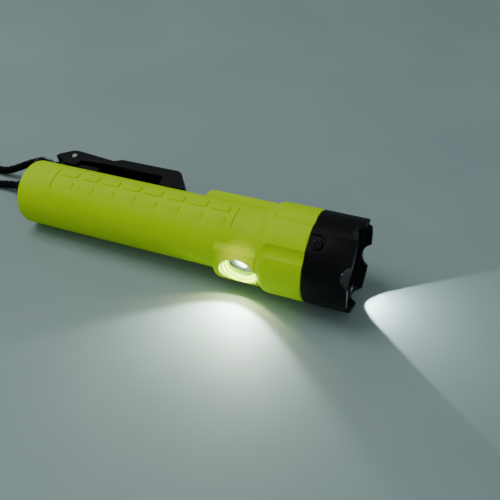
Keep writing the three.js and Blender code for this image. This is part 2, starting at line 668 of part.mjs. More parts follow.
function reflector() {
  const vertex = ledRear + 0.6;
  const focus = reflectorMouth ** 2 / (4 * (reflectorFront - vertex));
  const throatX = vertex + REFLECTOR_THROAT ** 2 / (4 * focus);
  const steps = 5;
  const inside = [];
  for (let i = 0; i <= steps; i += 1) {
    const r = REFLECTOR_THROAT + (i / steps) * (reflectorMouth - REFLECTOR_THROAT);
    inside.push([vertex + r ** 2 / (4 * focus), r]);
  }
  const outside = inside.slice(0, -1).map(([x, r]) => [x, r + REFLECTOR_WALL + 0.4]).reverse();
  const flangeRear = neckFront + GAP + 0.4;
  const bowl = outside.filter(([x]) => x < flangeRear - 0.5);
  const rim = headBore - GAP;
  const profile = [
    ...inside, [reflectorFront, LENS_RADIUS], [flangeRear, LENS_RADIUS],
    [flangeRear, rim - 0.6], ...bowl, [throatX, REFLECTOR_THROAT],
  ];
  return turned(profile);
}

function buildSpot() {
  add('heat_sink', heatSink(), ALUMINIUM);
  add('main_led_board', turned(rod(ledBoardRear, ledBoardRear + LED_BOARD_THICK, 10),
    2 * SMALL_STEPS), CIRCUIT);
  add('main_led', turned([
    [ledRear, 0], [ledRear, 2.6], [ledRear + 0.8, 2.6], [ledRear + 0.8, 1.9],
    [ledRear + 1.6, 1.5], [ledRear + 2.1, 0.8], [ledRear + 2.2, 0],
  ], SMALL_STEPS), LED_YELLOW);
  add('main_reflector', reflector(), MIRROR_COAT);
  add('main_lens', turned(rod(lensRear, lensRear + LENS_THICK, LENS_RADIUS)), CLEAR);
  add('main_lens_seal', turned(tube(lensSealRear, lensSealRear + LENS_SEAL, lipBore,
    LENS_RADIUS)), BLACK_RUBBER);
}

// ---------------------------------------------------------------- bezel
function bezel() {
  const rear = bezelRear + GAP;
  const ring = turned([
    [rear, bezelBore], [rear, headRadius], [bezelFront - RIM_CHAMFER, headRadius],
    [bezelFront, headRadius - RIM_CHAMFER], [bezelFront, rimBore],
    [notchFloor, rimBore], [notchFloor, lipBore], [lipRear, lipBore],
    [lipRear, bezelBore], [rear, bezelBore],
  ]);
  const notches = [];
  for (let i = 0; i < NOTCH_COUNT; i += 1) {
    const scallop = upright(rod(lipBore + 0.5, headRadius + OVER, NOTCH_RADIUS),
      notchFloor + NOTCH_RADIUS, 0, ROUND_STEPS);
    notches.push(around(scallop, NOTCH_START + (360 / NOTCH_COUNT) * i));
  }
  const pocketFloor = headRadius - LOCK_POCKET_DEPTH;
  const lockX = rear + LOCK_OFFSET;
  const pocket = unite(
    upright(rod(pocketFloor, headRadius + OVER, LOCK_POCKET), lockX, 0, 2 * SMALL_STEPS),
    block(rear - OVER, lockX, -LOCK_POCKET, LOCK_POCKET, pocketFloor, headRadius + OVER),
    upright(rod(neckRadius - OVER, pocketFloor + OVER, LOCK_SHANK + GAP), lockX),
  );
  return cut(ring, ...notches, around(pocket, LOCK_ANGLE));
}

function lockScrew() {
  const seat = headRadius - LOCK_POCKET_DEPTH + GAP;
  const lockX = bezelRear + GAP + LOCK_OFFSET;
  const top = headRadius - 0.2;
  const screw = upright([
    [bezelBore, 0], [bezelBore, LOCK_SHANK], [seat, LOCK_SHANK], [seat, LOCK_HEAD],
    [top - 0.3, LOCK_HEAD], [top, LOCK_HEAD - 0.4], [top, 0],
  ], lockX);
  const slot = block(lockX - 1.7, lockX + 1.7, -0.4, 0.4, top - 0.6, top + OVER);
  const cross = block(lockX - 0.4, lockX + 0.4, -1.7, 1.7, top - 0.6, top + OVER);
  return around(cut(screw, slot, cross), LOCK_ANGLE);
}

function buildBezel() {
  const sealRadius = (SEAL_GROOVE + GAP) / 2 - GAP;
  const sealX = bezelRear + NECK_SEAL_OFFSET;
  const sealMiddle = bezelBore - GAP - sealRadius;
  const section = [];
  for (let i = 0; i <= 6; i += 1) {
    const a = (i / 6) * 2 * Math.PI;
    section.push([sealX + sealRadius * Math.cos(a), sealMiddle + sealRadius * Math.sin(a)]);
  }
  add('neck_seal', turned(section, INNER_STEPS), BLACK_RUBBER);
  add('bezel', bezel(), BLACK_NYLON);
  add('lock_screw', lockScrew(), BLACK_NYLON);
}

// ---------------------------------------------------------------- belt clip
function clipLever() {
  const top = clipTop;
  const tip = CLIP_TAIL_X;
  const jaw = CLIP_TAIL_X + CLIP_LENGTH;
  const step = CLIP_PIN_X + 25;
  const low = tubeRadius - 1.4;
  const outline = [
    [tip, top - 6.9], [tip + 1.2, top - 4.9], [CLIP_PIN_X - 2.9, top - 0.5],
    [CLIP_PIN_X - 0.4, top], [CLIP_PIN_X + 2.1, top - 0.1], [step, top - 2.1],
    [step + 5, top], [jaw - 9, top + 0.3], [jaw - 6.7, top - 1], [jaw, low],
    [jaw - 15.8, low], [jaw - 16.2, top - 5.4], [step - 2, top - 5.4],
    [CLIP_PIN_X + 5.8, top - 6.5], [CLIP_PIN_X + 4.1, tubeRadius - 0.1],
    [CLIP_PIN_X - 3.9, tubeRadius - 0.1], [CLIP_PIN_X - 6.4, top - 8.2],
  ];
  const s = CLIP_SHEET;
  const inside = [
    [tip - OVER, low - OVER], [tip - OVER, top - 7.9], [tip + 1.9, top - 6.2],
    [CLIP_PIN_X - 2.4, top - s - 0.5], [CLIP_PIN_X - 0.4, top - s],
    [CLIP_PIN_X + 2.1, top - s - 0.1], [step + 0.1, top - s - 2.1], [step + 5.1, top - s],
    [jaw - 9.5, top - s + 0.3], [jaw - 7.9, top - s - 0.8], [jaw - 1.6, low - 0.6],
    [jaw - 1.6, low - OVER],
  ];
  const channel = cut(
    plate(outline, -CLIP_HALF_WIDTH, CLIP_HALF_WIDTH),
    plate(inside, s - CLIP_HALF_WIDTH, CLIP_HALF_WIDTH - s),
    turned(rod(-OVER, bezelFront, tubeRadius + GAP), 2 * ROUND_STEPS),
    crosswise(rod(-CLIP_HALF_WIDTH - OVER, CLIP_HALF_WIDTH + OVER, CLIP_PIN_RADIUS + GAP),
      CLIP_PIN_X, pinHeight),
    block(tip - OVER, CLIP_BASE_REAR + 1, -EYE_HALF_THICK - 2 * GAP, EYE_HALF_THICK + 2 * GAP,
      low, top),
  );
  return channel;
}

function clipBase() {
  const halfWidth = CLIP_HALF_WIDTH - CLIP_SHEET - 2 * GAP;
  const foot = block(CLIP_BASE_REAR, CLIP_BASE_FRONT, -halfWidth, halfWidth,
    tubeRadius - OVER, baseTop);
  const lugs = [1, -1].map((side) => {
    const y0 = side > 0 ? halfWidth - CLIP_LUG_THICK : -halfWidth;
    const hub = crosswise(rod(y0, y0 + CLIP_LUG_THICK, lugRadius), CLIP_PIN_X, pinHeight);
    const post = block(CLIP_PIN_X - lugRadius, CLIP_PIN_X + lugRadius,
      y0, y0 + CLIP_LUG_THICK, tubeRadius, pinHeight);
    return hub.add(post);
  });
  const eyeZ = tubeRadius + EYE_RISE;
  const eye = crosswise(rod(-EYE_HALF_THICK, EYE_HALF_THICK, EYE_RADIUS), EYE_X, eyeZ);
  const rib = block(EYE_X, CLIP_BASE_REAR + 1, -EYE_HALF_THICK, EYE_HALF_THICK,
    tubeRadius, eyeZ);
  const tubeCut = turned(rod(-EYE_RADIUS - OVER, bezelFront, tubeRadius + GAP), 2 * ROUND_STEPS);
  const pinHole = crosswise(rod(-CLIP_HALF_WIDTH, CLIP_HALF_WIDTH, CLIP_PIN_RADIUS + GAP),
    CLIP_PIN_X, pinHeight);
  const eyeHole = crosswise(rod(-OVER, OVER, EYE_BORE), EYE_X, eyeZ);
  const screwHoles = CLIP_SCREW_PLACES.map((x) =>
    upright(rod(tubeRadius - OVER, baseTop + OVER, CLIP_SCREW_SHANK + GAP), x, 0, 12));
  return cut(unite(foot, ...lugs, eye, rib), tubeCut, pinHole, eyeHole, ...screwHoles);
}

function clipSpring() {
  const half = 3.2; // of the coil's length along the pin
  const points = [[CLIP_PIN_X + 10, -half, baseTop + GAP + CLIP_SPRING_WIRE]];
  const steps = 8 * CLIP_SPRING_TURNS;
  for (let i = 0; i <= steps; i += 1) {
    const t = i / steps;
    const a = -Math.PI / 2 + 2 * Math.PI * CLIP_SPRING_TURNS * t;
    points.push([
      CLIP_PIN_X + clipSpringRadius * Math.cos(a),
      -half + 2 * half * t,
      pinHeight + clipSpringRadius * Math.sin(a),
    ]);
  }
  return swept(points, CLIP_SPRING_WIRE, 4, 40);
}

function buildClip() {
  const reach = CLIP_HALF_WIDTH + GAP;
  add('clip_base', clipBase(), BLACK_NYLON);
  add('clip_lever', clipLever(), BLACK_NYLON);
  add('clip_pin', crosswise(rod(-reach, reach, CLIP_PIN_RADIUS), CLIP_PIN_X, pinHeight), STEEL);
  add('clip_spring', clipSpring(), STEEL);
  for (const [i, x] of CLIP_SCREW_PLACES.entries()) {
    const seat = baseTop + GAP;
    const screw = upright([
      [tubeRadius - CLIP_SCREW_DEPTH, 0], [tubeRadius - CLIP_SCREW_DEPTH, CLIP_SCREW_SHANK],
      [seat, CLIP_SCREW_SHANK], [seat, CLIP_SCREW_HEAD], [seat + 0.6, CLIP_SCREW_HEAD],
      [seat + 1.1, CLIP_SCREW_HEAD - 0.9], [seat + 1.1, 0],
    ], x);
    const slot = block(x - 1.3, x + 1.3, -0.3, 0.3, seat + 0.6, seat + OVER);
    add(`clip_screw_${i + 1}`, screw.subtract(slot), STEEL);
  }
}

// ---------------------------------------------------------------- split ring and lanyard
// The ring is a flat coil of two turns in an upright plane along X, hung through the eye.
function splitRing(eye) {
  const turns = 1.9;
  const steps = 60;
  const hang = radians(RING_HANG);
  const points = [];
  for (let i = 0; i <= steps; i += 1) {
    const t = i / steps;
    const a = hang + Math.PI * (1 + 2 * turns * (t - 0.5));
    points.push([
      eye.x + RING_RADIUS * (Math.cos(a) - Math.cos(hang)),
      eye.y + turns * RING_PITCH * (t - 0.5),
      eye.z + RING_RADIUS * (Math.sin(a) - Math.sin(hang)),
    ]);
  }
  return swept(points, RING_WIRE, 6, 52);
}

function splice() {
  const [front, rear] = SPLICE_ENDS.map((p) => new THREE.Vector3(...p));
  const sleeve = new THREE.CylinderGeometry(SPLICE_RADIUS, SPLICE_RADIUS, front.distanceTo(rear), 16);
  const up = new THREE.Vector3(0, 1, 0);
  const along = front.clone().sub(rear).normalize();
  sleeve.applyQuaternion(new THREE.Quaternion().setFromUnitVectors(up, along));
  const middle = front.clone().add(rear).multiplyScalar(0.5);
  return solid(sleeve.translate(middle.x, middle.y, middle.z));
}

function hank() {
  const slab = oblong(HANK_REAR, HANK_FRONT, HANK_HALF_WIDTH, 0, HANK_HEIGHT)
    .translate([0, HANK_MIDDLE, 0]);
  const reach = TIE_HALF_WIDTH + 2 * GAP;
  const groove = block(TIE_X - reach, TIE_X + reach, 0, 2 * HANK_MIDDLE, -OVER, TIE_THICK + GAP);
  return slab.subtract(groove);
}

function tie() {
  const half = HANK_HALF_WIDTH + GAP;
  const top = HANK_HEIGHT + GAP;
  const x0 = TIE_X - TIE_HALF_WIDTH;
  const x1 = TIE_X + TIE_HALF_WIDTH;
  const outer = block(x0, x1, HANK_MIDDLE - half - TIE_THICK, HANK_MIDDLE + half + TIE_THICK,
    0, top + TIE_THICK);
  return outer.subtract(block(x0 - OVER, x1 + OVER, HANK_MIDDLE - half, HANK_MIDDLE + half,
    TIE_THICK, top));
}

function buildLanyard(eye) {
  add('split_ring', splitRing(eye), STEEL, lanyard);
  add('lanyard_splice', splice(), BLACK_RUBBER, lanyard);
  add('lanyard_cord_upper', swept(UPPER_STRAND, CORD_RADIUS, CORD_SIDES, 32), CORD_BLACK, lanyard);
  add('lanyard_cord_lower', swept(LOWER_STRAND, CORD_RADIUS, CORD_SIDES, 14), CORD_BLACK, lanyard);
  add('lanyard_hank', hank(), CORD_BLACK, lanyard);
  add('lanyard_tie', tie(), BLACK_RUBBER, lanyard);
}

// ---------------------------------------------------------------- the whole part
buildBatteries();
buildModule();
buildSwitches();
buildFlood();
buildSpot();
buildBezel();
buildClip();
add('housing', housing(), HI_VIS);

// Rolled so the switches face sideways, then tilted so the tail and the head both touch down.
const tilt = Math.atan2(headRadius - tubeRadius, shoulderFront - TAIL_ROUNDING);
torch.rotation.set(radians(-ROLL), 0, 0);
torch.updateMatrixWorld(true);
const placing = new THREE.Matrix4().makeRotationY(-tilt).multiply(torch.matrixWorld);
for (const mesh of torch.children) mesh.geometry.applyMatrix4(placing);
torch.rotation.set(0, 0, 0);
const height = -new THREE.Box3().setFromObject(torch, true).min.z;
for (const mesh of torch.children) mesh.geometry.translate(0, 0, height);
placing.premultiply(new THREE.Matrix4().makeTranslation(0, 0, height));
buildLanyard(new THREE.Vector3(EYE_X, 0, tubeRadius + EYE_RISE).applyMatrix4(placing));

// The origin is under the middle of the torch and its ring; the lanyard's cord is left out of it.
const held = new THREE.Box3().setFromObject(torch, true);
held.expandByObject(lanyard.getObjectByName('split_ring'), true);
const middle = held.getCenter(new THREE.Vector3());
for (const mesh of [...torch.children, ...lanyard.children]) {
  mesh.geometry.translate(-middle.x, -middle.y, 0);
  part.add(mesh);
}
part.remove(torch, lanyard);

export default part;
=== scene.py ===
"""Looks for the firefighter hand torch: round, finely faceted outer pieces with moulded edges,
a braided lanyard, both lights lit, on a plain pale floor. A piece of the torch is drawn in
millimetres and then moved to its place; the camera, the lamps and the floor are in metres."""

import math

import bmesh
import bpy
from mathutils import Matrix, Vector


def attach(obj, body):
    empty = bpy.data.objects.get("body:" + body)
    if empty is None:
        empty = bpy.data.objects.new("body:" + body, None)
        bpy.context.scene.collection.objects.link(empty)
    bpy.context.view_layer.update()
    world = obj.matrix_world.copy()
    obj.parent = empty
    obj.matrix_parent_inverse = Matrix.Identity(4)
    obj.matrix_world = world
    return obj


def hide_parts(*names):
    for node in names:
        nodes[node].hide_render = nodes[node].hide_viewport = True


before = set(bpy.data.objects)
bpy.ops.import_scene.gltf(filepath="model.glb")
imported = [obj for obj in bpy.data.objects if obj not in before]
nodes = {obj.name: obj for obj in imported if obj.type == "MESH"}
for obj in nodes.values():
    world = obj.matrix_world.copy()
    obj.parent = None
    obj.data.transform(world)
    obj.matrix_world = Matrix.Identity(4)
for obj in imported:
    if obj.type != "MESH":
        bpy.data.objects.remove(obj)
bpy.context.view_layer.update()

MM = 0.001

# ------------------------------------------------------------------ where the torch lies
# The torch is drawn along +X from its tail, switches towards +Z, in millimetres, and this
# matrix rolls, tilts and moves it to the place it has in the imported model.
TAIL_AT = Vector((-0.088787, -0.003045, 0.017864))
ROLL = math.radians(75)
TILT = math.radians(2.23668)
PLACING = (
    Matrix.Translation(TAIL_AT)
    @ Matrix.Rotation(-TILT, 4, "Y")
    @ Matrix.Rotation(-ROLL, 4, "X")
    @ Matrix.Scale(MM, 4)
)


def on_torch(x, side, up):
    """A point of the torch's own drawing, in millimetres, as a place in the scene."""
    return PLACING @ Vector((x, side, up))


def direction(x, side, up):
    """A direction of the torch's own drawing as a unit vector in the scene."""
    return (PLACING.to_3x3() @ Vector((x, side, up))).normalized()


# ------------------------------------------------------------------ camera
camera_data = bpy.data.cameras.new("camera")
camera_data.lens = 49.87
camera_data.sensor_width = 36
camera_data.clip_start = 0.01
camera = bpy.data.objects.new("camera", camera_data)
camera.location = (0.152922, -0.263220, 0.246861)
camera.rotation_euler = (0.885353, -0.008212, 0.397014)
bpy.context.scene.collection.objects.link(camera)
bpy.context.scene.camera = camera


# ------------------------------------------------------------------ mesh helpers
def new_object(name, mesh):
    obj = bpy.data.objects.new(name, mesh)
    bpy.context.scene.collection.objects.link(obj)
    return obj


def mesh_from(name, points, faces):
    mesh = bpy.data.meshes.new(name)
    mesh.from_pydata([tuple(p) for p in points], [], faces)
    mesh.update()
    return mesh


def applied(obj):
    """Bakes the object's modifiers into a plain mesh."""
    graph = bpy.context.evaluated_depsgraph_get()
    mesh = bpy.data.meshes.new_from_object(obj.evaluated_get(graph), depsgraph=graph)
    obj.modifiers.clear()
    old = obj.data
    obj.data = mesh
    bpy.data.meshes.remove(old)
    return obj


def modified(obj, kind, **settings):
    modifier = obj.modifiers.new(kind.lower(), kind)
    for key, value in settings.items():
        setattr(modifier, key, value)
    return modifier


def boolean(body, others, operation):
    for other in others:
        modified(body, "BOOLEAN", object=other, operation=operation, solver="MANIFOLD")
    applied(body)
    for other in others:
        bpy.data.objects.remove(other)
    return body


def join_solids(body, *others):
    return boolean(body, others, "UNION")


def cut(body, *others):
    return boolean(body, others, "DIFFERENCE")


def rounded(obj, width_mm, angle=32, segments=2):
    """Rounds the edges sharper than the angle."""
    modified(
        obj, "BEVEL", width=width_mm, segments=segments, limit_method="ANGLE",
        angle_limit=math.radians(angle), use_clamp_overlap=True,
    )
    return applied(obj)


def lathe(profile, steps):
    """Points and faces of a profile of (place, radius) pairs turned about the first axis.
    A profile that starts and ends on the axis makes a solid; one that closes makes a ring."""
    closed = profile[0] == profile[-1]
    stations = profile[:-1] if closed else profile
    points, rings = [], []
    for place, radius in stations:
        if radius < 1e-9:
            rings.append([len(points)])
            points.append((place, 0.0, 0.0))
            continue
        rings.append(list(range(len(points), len(points) + steps)))
        for i in range(steps):
            angle = 2 * math.pi * i / steps
            points.append((place, radius * math.sin(angle), radius * math.cos(angle)))
    faces = []
    pairs = list(zip(rings, rings[1:] + ([rings[0]] if closed else [])))
    for low, high in pairs:
        for i in range(steps):
            j = (i + 1) % steps
            if len(low) == 1 and len(high) > 1:
                faces.append((low[0], high[j], high[i]))
            elif len(high) == 1 and len(low) > 1:
                faces.append((high[0], low[i], low[j]))
            elif len(low) > 1:
                faces.append((low[i], low[j], high[j], high[i]))
    return points, faces


def facing_out(mesh):
    work = bmesh.new()
    work.from_mesh(mesh)
    bmesh.ops.recalc_face_normals(work, faces=work.faces)
    work.to_mesh(mesh)
    work.free()
    return mesh


def turned(name, profile, steps=144):
    """Turned about the torch's axis."""
    points, faces = lathe(profile, steps)
    return new_object(name, facing_out(mesh_from(name, points, faces)))


def upright(name, profile, x=0.0, steps=96):
    """Turned about a line towards the switches, at x along the torch."""
    points, faces = lathe(profile, steps)
    moved = [(x + q, r, p) for p, q, r in points]
    return new_object(name, facing_out(mesh_from(name, moved, faces)))


def prism(name, outline, low, high, lay):
    """An outline of (a, b) pairs with a thickness; lay(a, b, c) gives each corner's place."""
    points = [lay(a, b, low) for a, b in outline] + [lay(a, b, high) for a, b in outline]
    n = len(outline)
    faces = [tuple(range(n)), tuple(range(2 * n - 1, n - 1, -1))]
    faces += [(i, (i + 1) % n, n + (i + 1) % n, n + i) for i in range(n)]
    return new_object(name, facing_out(mesh_from(name, points, faces)))


def bar(name, outline, x0, x1):
    """An outline across the torch, long from x0 to x1."""
    return prism(name, outline, x0, x1, lambda side, up, x: (x, side, up))


def plate(name, outline, side0, side1):
    """An outline along the torch, thick from side0 to side1."""
    return prism(name, outline, side0, side1, lambda x, up, side: (x, side, up))


def block(name, x0, x1, side0, side1, up0, up1):
    return plate(name, [(x0, up0), (x1, up0), (x1, up1), (x0, up1)], side0, side1)


def turn_about_torch(obj, degrees):
    obj.data.transform(Matrix.Rotation(-math.radians(degrees), 4, "X"))
    return obj


def rod(low, high, radius):
    return [(low, 0), (low, radius), (high, radius), (high, 0)]


def shaded(obj, angle=32):
    """Smooth shading, with edges sharper than the angle kept crisp."""
    obj.data.shade_smooth()
    obj.data.set_sharp_from_angle(angle=math.radians(angle))
    return obj


def placed(obj):
    """Moves a piece drawn in the torch's millimetres to its place in the scene."""
    obj.data.transform(PLACING)
    return obj


# ------------------------------------------------------------------ materials
FLOOD_X = 136.6
TRACK_MM = 1.1905
GLOW_COLOUR = "#FFF000"
GLOW_NEAR, GLOW_FAR = 0.003, 0.0115
CHIP_NEAR, CHIP_FAR = 0.0016, 0.0046


def linear(code):
    """A hex sRGB colour as the linear values the nodes take."""
    channels = [int(code[i:i + 2], 16) / 255 for i in (1, 3, 5)]
    bright = [c / 12.92 if c <= 0.04045 else ((c + 0.055) / 1.055) ** 2.4 for c in channels]
    return (*bright, 1.0)


def add_node(tree, kind, inputs=None, **settings):
    """Adds a node; inputs are values, or sockets to link from."""
    node = tree.nodes.new(kind)
    for key, value in settings.items():
        setattr(node, key, value)
    for key, value in (inputs or {}).items():
        if isinstance(value, bpy.types.NodeSocket):
            tree.links.new(value, node.inputs[key])
        else:
            node.inputs[key].default_value = value
    return node


def blank_material(name):
    material = bpy.data.materials.new(name)
    material.use_nodes = True
    tree = material.node_tree
    tree.nodes.clear()
    output = add_node(tree, "ShaderNodeOutputMaterial")
    where = add_node(tree, "ShaderNodeTexCoord")
    return material, tree, output, where.outputs["Object"]


def noise(tree, where, size_mm, detail=3.0, roughness=0.5):
    """Soft noise whose lumps are about size_mm across."""
    node = add_node(
        tree, "ShaderNodeTexNoise",
        {"Vector": where, "Scale": 1 / (size_mm * MM), "Detail": detail, "Roughness": roughness},
    )
    return node.outputs["Fac"]


def ramp(tree, value, low, high, start=0.0, end=1.0):
    node = add_node(
        tree, "ShaderNodeMapRange",
        {"Value": value, "From Min": start, "From Max": end, "To Min": low, "To Max": high},
    )
    return node.outputs["Result"]


def mix(tree, amount, first, second):
    """Blends two colours; sockets 0, 6 and 7 are the amount and the two colours."""
    node = add_node(tree, "ShaderNodeMix", {0: amount, 6: first, 7: second}, data_type="RGBA")
    return node.outputs[2]


def distance_from(tree, where, place):
    """How far the shaded point lies from a fixed place on the torch."""
    gap = add_node(tree, "ShaderNodeVectorMath", {0: where, 1: place}, operation="DISTANCE")
    return gap.outputs["Value"]


def edge_mask(tree, radius):
    """Near one along sharp edges, nothing on open faces."""
    bevel = add_node(tree, "ShaderNodeBevel", {"Radius": radius}, samples=4)
    plain = add_node(tree, "ShaderNodeNewGeometry")
    dot = add_node(
        tree, "ShaderNodeVectorMath",
        {0: bevel.outputs["Normal"], 1: plain.outputs["Normal"]}, operation="DOT_PRODUCT",
    )
    return ramp(tree, dot.outputs["Value"], 1.0, 0.0, 0.8, 0.995), bevel.outputs["Normal"]


def moulded(name, colour, worn, shade, roughness, grain_mm=0.35, grain_depth=0.03, edge_mm=0.3,
            wear=0.35, speck=0.25, shine=0.5, glow_at=None):
    """Moulded plastic or rubber: fine grain, faint mottling, paler wear along its edges."""
    material, tree, output, where = blank_material(name)
    edges, soft_normal = edge_mask(tree, edge_mm * MM)
    cloud = noise(tree, where, 22.222, 4)
    patches = noise(tree, where, 3.8462, 5, 0.65)
    grain = noise(tree, where, grain_mm, 2)
    dirt = ramp(tree, cloud, 0.0, speck, 0.45, 0.75)
    base = mix(tree, dirt, linear(colour), linear(shade))
    rubbed = add_node(
        tree, "ShaderNodeMath", {0: edges, 1: ramp(tree, patches, 0.0, wear, 0.35, 0.65)},
        operation="MULTIPLY",
    )
    tint = mix(tree, rubbed.outputs[0], base, linear(worn))
    gloss = ramp(tree, patches, roughness - 0.07, roughness + 0.08, 0.3, 0.7)
    bump = add_node(
        tree, "ShaderNodeBump",
        {"Height": grain, "Distance": grain_depth * MM, "Strength": 0.6, "Normal": soft_normal},
    )
    shader = add_node(
        tree, "ShaderNodeBsdfPrincipled",
        {
            "Base Color": tint, "Roughness": gloss, "Specular IOR Level": shine,
            "Normal": bump.outputs["Normal"],
        },
    )
    if glow_at:
        lit = ramp(tree, distance_from(tree, where, glow_at), 0.4, 0.0, GLOW_NEAR, GLOW_FAR)
        tree.links.new(lit, shader.inputs["Emission Strength"])
        shader.inputs["Emission Color"].default_value = linear(GLOW_COLOUR)
    tree.links.new(shader.outputs[0], output.inputs["Surface"])
    return material


def metal(name, colour, dark, roughness, brushed=1.0):
    """Bare or plated metal with fine directional marks and a little staining."""
    material, tree, output, where = blank_material(name)
    stretch = add_node(
        tree, "ShaderNodeMapping", {"Vector": where, "Scale": (1.0, brushed, 1.0)}
    )
    marks = noise(tree, stretch.outputs["Vector"], 0.71429, 3)
    stain = noise(tree, where, 5.5556, 4)
    tint = mix(tree, ramp(tree, stain, 0.0, 0.5, 0.45, 0.75), linear(colour), linear(dark))
    gloss = ramp(tree, marks, roughness - 0.08, roughness + 0.12, 0.3, 0.7)
    bump = add_node(
        tree, "ShaderNodeBump", {"Height": marks, "Distance": 0.008 * MM, "Strength": 0.5}
    )
    shader = add_node(
        tree, "ShaderNodeBsdfPrincipled",
        {"Base Color": tint, "Roughness": gloss, "Metallic": 1.0, "Normal": bump.outputs["Normal"]},
    )
    tree.links.new(shader.outputs[0], output.inputs["Surface"])
    return material


def clear_plastic(name, colour, glow, strength, bright_at=None):
    """A clear lens lit from behind: part glass, part its own light, brightest over the chip."""
    material, tree, output, where = blank_material(name)
    wave = noise(tree, where, 3.3333, 2)
    bump = add_node(
        tree, "ShaderNodeBump", {"Height": wave, "Distance": 0.01 * MM, "Strength": 0.3}
    )
    if bright_at:
        away = distance_from(tree, where, bright_at)
        strength = ramp(tree, away, 5.0, strength, CHIP_NEAR, CHIP_FAR)
    glass = add_node(
        tree, "ShaderNodeBsdfPrincipled",
        {
            "Base Color": linear(colour), "Roughness": ramp(tree, wave, 0.02, 0.09),
            "Transmission Weight": 1.0, "IOR": 1.49, "Normal": bump.outputs["Normal"],
            "Emission Color": linear(glow), "Emission Strength": strength,
        },
    )
    tree.links.new(glass.outputs[0], output.inputs["Surface"])
    return material


def lit_chip(name, colour, strength):
    """A finely grained phosphor that gives its own light."""
    material, tree, output, where = blank_material(name)
    phosphor = mix(tree, noise(tree, where, 1.1111, 2), linear(colour), linear("#FFFFFF"))
    shader = add_node(
        tree, "ShaderNodeBsdfPrincipled",
        {
            "Base Color": phosphor, "Roughness": 0.4,
            "Emission Color": phosphor, "Emission Strength": strength,
        },
    )
    tree.links.new(shader.outputs[0], output.inputs["Surface"])
    return material


def circuit_board(name):
    """Green board with a brick-like run of paler tracks, TRACK_MM long."""
    material, tree, output, where = blank_material(name)
    tracks = add_node(
        tree, "ShaderNodeTexBrick",
        {
            "Vector": where, "Color1": linear("#1F5A38"), "Color2": linear("#174A2C"),
            "Mortar": linear("#3E8A55"), "Scale": 0.5 / (TRACK_MM * MM), "Mortar Size": 0.03,
        },
    )
    gloss = ramp(tree, noise(tree, where, 1.1111), 0.3, 0.5)
    shader = add_node(
        tree, "ShaderNodeBsdfPrincipled",
        {"Base Color": tracks.outputs["Color"], "Roughness": gloss},
    )
    tree.links.new(shader.outputs[0], output.inputs["Surface"])
    return material


def braided_cord(name):
    """Black braid: each strand's thread runs along it, a little dust between the strands."""
    material, tree, output, where = blank_material(name)
    along = add_node(tree, "ShaderNodeUVMap", uv_map="braid")
    threads = add_node(
        tree, "ShaderNodeTexWave",
        {"Vector": along.outputs["UV"], "Scale": 5.0, "Distortion": 1.2, "Detail": 2.0},
        wave_type="BANDS", bands_direction="DIAGONAL",
    )
    fluff = noise(tree, where, 0.55556, 4)
    tint = mix(tree, ramp(tree, threads.outputs["Fac"], 0.0, 0.7), linear("#040506"), linear("#0E1112"))
    dusty = mix(tree, ramp(tree, fluff, 0.0, 0.3, 0.55, 0.8), tint, linear("#1E2224"))
    bump = add_node(
        tree, "ShaderNodeBump",
        {"Height": threads.outputs["Fac"], "Distance": 0.12 * MM, "Strength": 0.8},
    )
    fuzz = add_node(
        tree, "ShaderNodeBump",
        {"Height": fluff, "Distance": 0.05 * MM, "Strength": 0.6, "Normal": bump.outputs["Normal"]},
    )
    shader = add_node(
        tree, "ShaderNodeBsdfPrincipled",
        {
            "Base Color": dusty, "Roughness": 0.85, "Specular IOR Level": 0.12,
            "Normal": fuzz.outputs["Normal"],
        },
    )
    tree.links.new(shader.outputs[0], output.inputs["Surface"])
    return material


def pale_floor(name):
    """Smooth surface: grey-green with faint clouding and a fine grit."""
    material, tree, output, where = blank_material(name)
    cloud = noise(tree, where, 111.11, 5)
    grit = noise(tree, where, 2, 3)
    tint = mix(tree, ramp(tree, cloud, 0.0, 1.0, 0.35, 0.7), linear("#8AA09D"), linear("#92A7A4"))
    bump = add_node(tree, "ShaderNodeBump", {"Height": grit, "Distance": 0.05 * MM, "Strength": 0.4})
    shader = add_node(
        tree, "ShaderNodeBsdfPrincipled",
        {"Base Color": tint, "Roughness": 0.6, "Normal": bump.outputs["Normal"]},
    )
    tree.links.new(shader.outputs[0], output.inputs["Surface"])
    return material


# Glass-filled nylon from a finely textured mould: strong colour, almost no highlight. The flood
# light's spill lights its pocket, drawn as a glow that fades away from one side of the pocket.
HI_VIS = moulded(
    "hi_vis_nylon", "#BEEA00", "#CDF01A", "#A6CE00", 0.55, edge_mm=0.45, wear=0.3, shine=0.06,
    glow_at=on_torch(FLOOD_X, -8.5, -19.5),
)
# Black moulded nylon: satin, with edges rubbed a little paler.
BLACK_NYLON = moulded("black_nylon", "#070A0A", "#1A1F20", "#050707", 0.5, wear=0.4, shine=0.13)
# Moulded rubber: matt, with a finer and deeper grain than the nylon.
RUBBER = moulded("black_rubber", "#0A0C0C", "#1D2122", "#060808", 0.7, 0.25, 0.04, shine=0.2)
# Unpainted ABS, as the carrier and the light module are moulded: plain mid grey.
GREY_PLASTIC = moulded("grey_plastic", "#53575B", "#7B8084", "#44484C", 0.5)
# Nickel-plated steel: bright, with fine directional marks.
STEEL = metal("bright_steel", "#A4A8AB", "#6C7073", 0.28, 6.0)
# Hard-drawn steel wire of the split ring: darker than the plated pieces.
RING_STEEL = metal("ring_steel", "#777B7D", "#45494B", 0.3, 6.0)
# Bare brass strip: yellow metal that has dulled a little.
BRASS = metal("contact_brass", "#CDA75C", "#9A7A3C", 0.3, 6.0)
# Turned aluminium: pale metal with fine tool marks.
ALUMINIUM = metal("bare_aluminium", "#C9CDD0", "#9EA3A6", 0.35, 8.0)
# Vacuum-coated reflector: near a mirror.
MIRROR = metal("mirror_coating", "#EEF0F1", "#DADCDD", 0.1)
